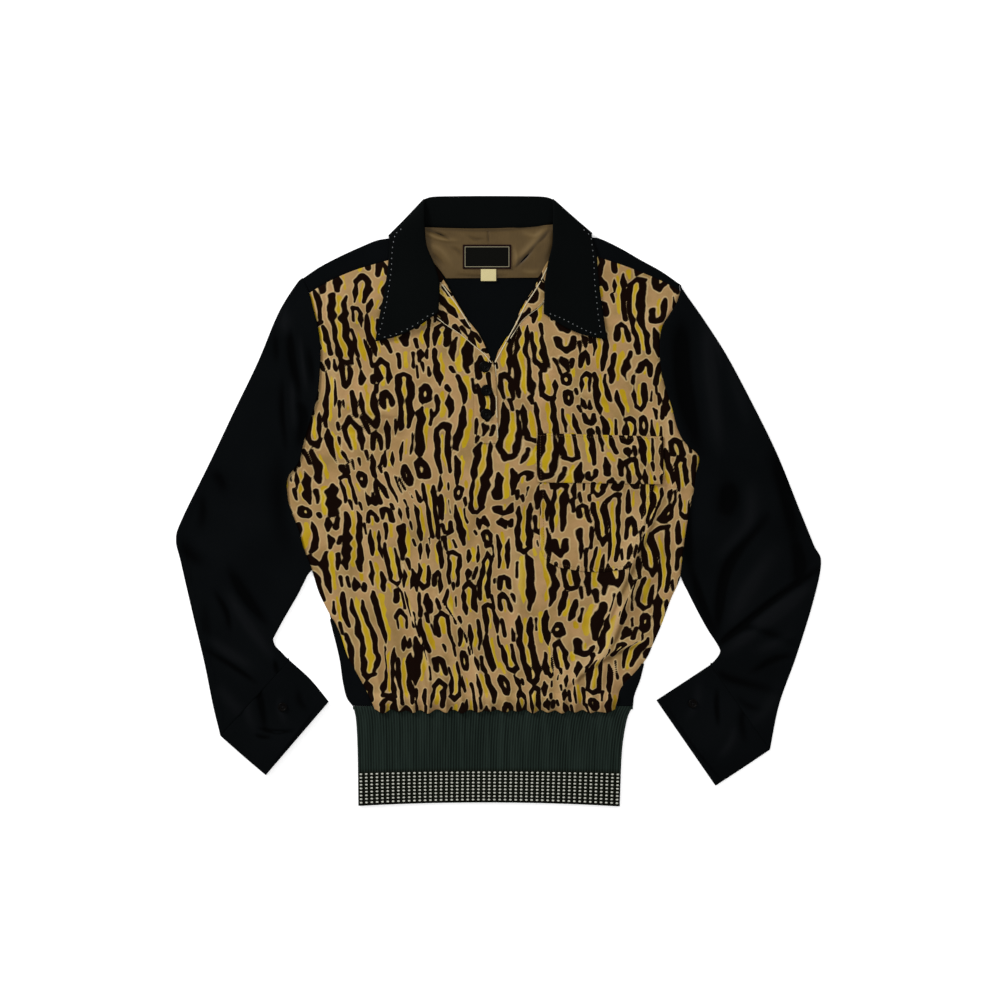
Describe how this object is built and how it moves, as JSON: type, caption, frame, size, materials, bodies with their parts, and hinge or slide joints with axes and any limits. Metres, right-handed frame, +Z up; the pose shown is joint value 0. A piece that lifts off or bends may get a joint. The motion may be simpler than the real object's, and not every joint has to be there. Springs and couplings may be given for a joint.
{
  "type": "gaucho shirt",
  "caption": "Long-sleeved gaucho shirt laid flat, with a leopard-print front, black sleeves and collar, a short placket, a chest pocket and a rib waistband",
  "frame": {"origin": "under the middle of the whole shirt, on the surface that it lies on", "axes": "+X across the shirt towards the sleeve on the right as seen from above, +Y from the hem to the neck, +Z up from the surface, the way the front faces"},
  "size_m": [0.774, 0.732, 0.01],
  "materials": {
    "black_cloth": "matt black gabardine with a fine twill",
    "leopard_cloth": "printed cloth, brown-black and mustard leopard spots on tan",
    "collar_cloth": "blue-black gabardine with a pale pick stitch along the edge",
    "satin": "brown satin with soft wrinkles",
    "label_cloth": "black woven label, bare, with a thin cream border line",
    "tab_cloth": "cream woven tab, bare",
    "rib_knit": "dark green rib knit with rows of cream stitches near the hem",
    "button": "dark brown polished plastic"
  },
  "bodies": {
    "root": {"back": "black_cloth", "yoke_left": "black_cloth", "yoke_right": "black_cloth", "sleeve_left": "black_cloth", "sleeve_right": "black_cloth", "cuff_left": "black_cloth", "cuff_right": "black_cloth", "front": "leopard_cloth", "placket": "leopard_cloth", "lapel_left": "leopard_cloth", "lapel_right": "leopard_cloth", "pocket": "leopard_cloth", "pocket_flap": "leopard_cloth", "collar": "collar_cloth", "neck_facing": "satin", "label": "label_cloth", "size_tab": "tab_cloth", "waistband": "rib_knit", "button_1": "button", "button_2": "button", "button_3": "button", "cuff_button_left": "button", "cuff_button_right": "button"}
  },
  "joints": []
}
